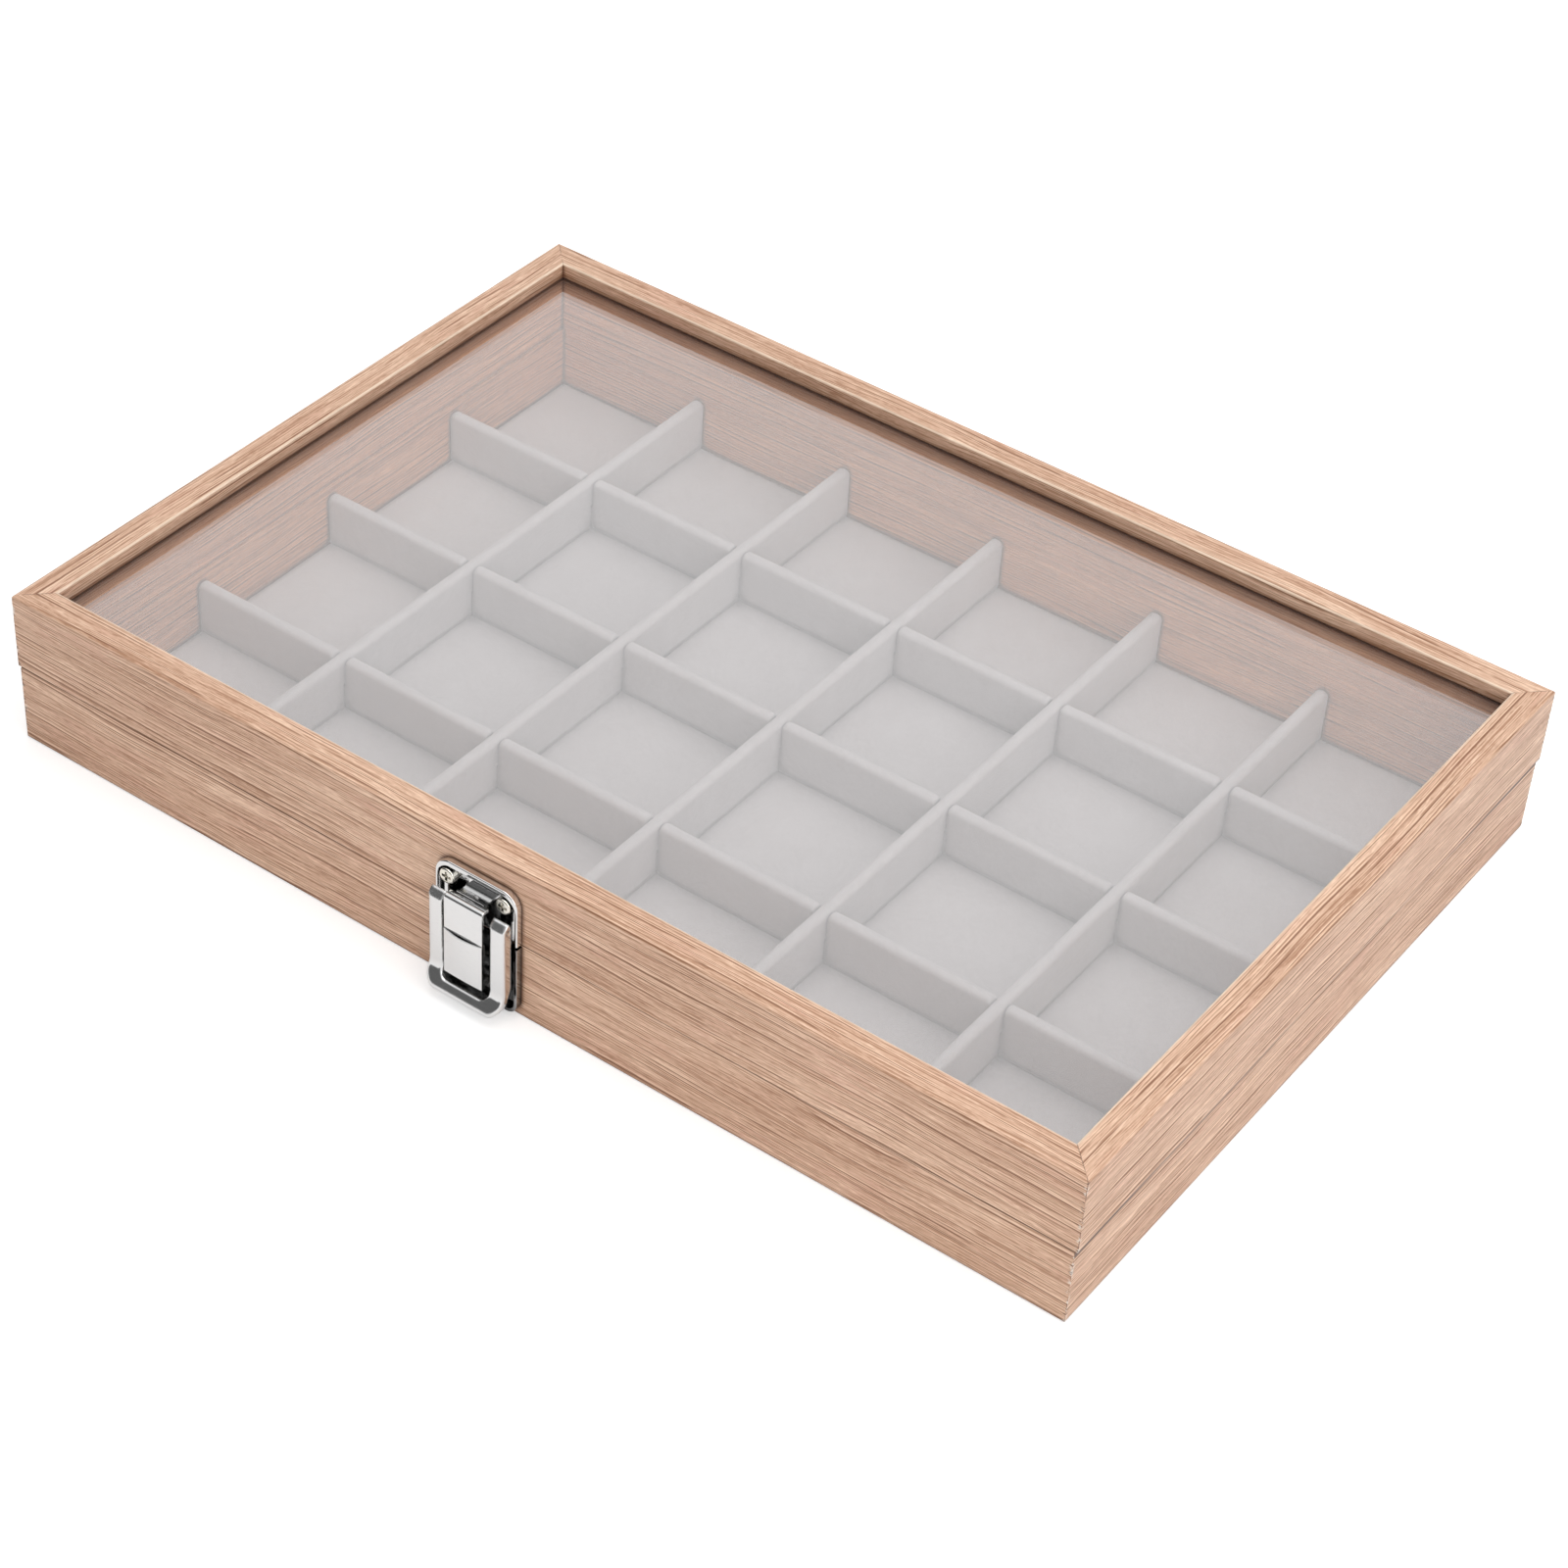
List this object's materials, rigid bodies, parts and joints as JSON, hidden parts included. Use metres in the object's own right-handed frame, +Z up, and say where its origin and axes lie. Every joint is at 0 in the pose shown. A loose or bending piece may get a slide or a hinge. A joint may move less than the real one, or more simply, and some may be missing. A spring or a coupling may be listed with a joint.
{
  "type": "jewelry storage box",
  "caption": "Flat wooden jewelry display case with a hinged glass lid, a velvet-lined grid of square compartments and a draw latch at the front.",
  "frame": {"origin": "centre of the underside, at the middle of the case's length and width without the latch and hinges", "axes": "+X along the latched front towards the right end seen from the front, +Y from the front to the hinged back, +Z up"},
  "size_m": [0.35, 0.2505, 0.0496],
  "materials": {
    "wood_laminate": "light oak grain foil over fibreboard, satin",
    "fibreboard": "plain brown board",
    "velvet": "short light grey pile",
    "glass": "clear float glass",
    "latch_chrome": "bright plated",
    "screw_nickel": "nickel plated",
    "hinge_metal": "nickel plated"
  },
  "bodies": {
    "base": {"base_front_board": "wood_laminate", "base_back_board": "wood_laminate", "base_left_board": "wood_laminate", "base_right_board": "wood_laminate", "bottom_panel": "fibreboard", "floor_lining": "velvet", "long_divider_1": "velvet", "long_divider_2": "velvet", "long_divider_3": "velvet", "cross_divider_1": "velvet", "cross_divider_2": "velvet", "cross_divider_3": "velvet", "cross_divider_4": "velvet", "cross_divider_5": "velvet", "hinge_base_leaf_left": "hinge_metal", "hinge_base_leaf_right": "hinge_metal", "hinge_pin_left": "hinge_metal", "hinge_pin_right": "hinge_metal", "hinge_base_screws": "screw_nickel", "latch_base_plate": "latch_chrome", "latch_base_screws": "screw_nickel"},
    "lid": {"lid_front_rail": "wood_laminate", "lid_back_rail": "wood_laminate", "lid_left_rail": "wood_laminate", "lid_right_rail": "wood_laminate", "glass_pane": "glass", "hinge_lid_leaf_left": "hinge_metal", "hinge_lid_leaf_right": "hinge_metal", "hinge_lid_screws": "screw_nickel", "keeper_plate": "latch_chrome", "keeper_screws": "screw_nickel"},
    "lever": {"latch_lever": "latch_chrome", "lever_rivets": "latch_chrome", "link_pin": "latch_chrome"},
    "link": {"link_cover": "latch_chrome", "hook_strap": "latch_chrome"}
  },
  "joints": [
    {"name": "lid_hinge", "type": "hinge", "parent": "base", "child": "lid", "pos_m": [0, 0.12065, 0.025], "axis": [-1, 0, 0], "range_deg": [0, 180]},
    {"name": "lever_pivot", "type": "hinge", "parent": "base", "child": "lever", "pos_m": [-0.0086, -0.1234, 0.0316], "axis": [-1, 0, 0], "range_deg": [0, 100]},
    {"name": "link_pivot", "type": "hinge", "parent": "lever", "child": "link", "pos_m": [-0.0086, -0.123, 0.012], "axis": [-1, 0, 0], "range_deg": [-100, 0]}
  ],
  "couplings": [
    {"joint": "link_pivot", "follows": "lever_pivot", "ratio": -1}
  ]
}
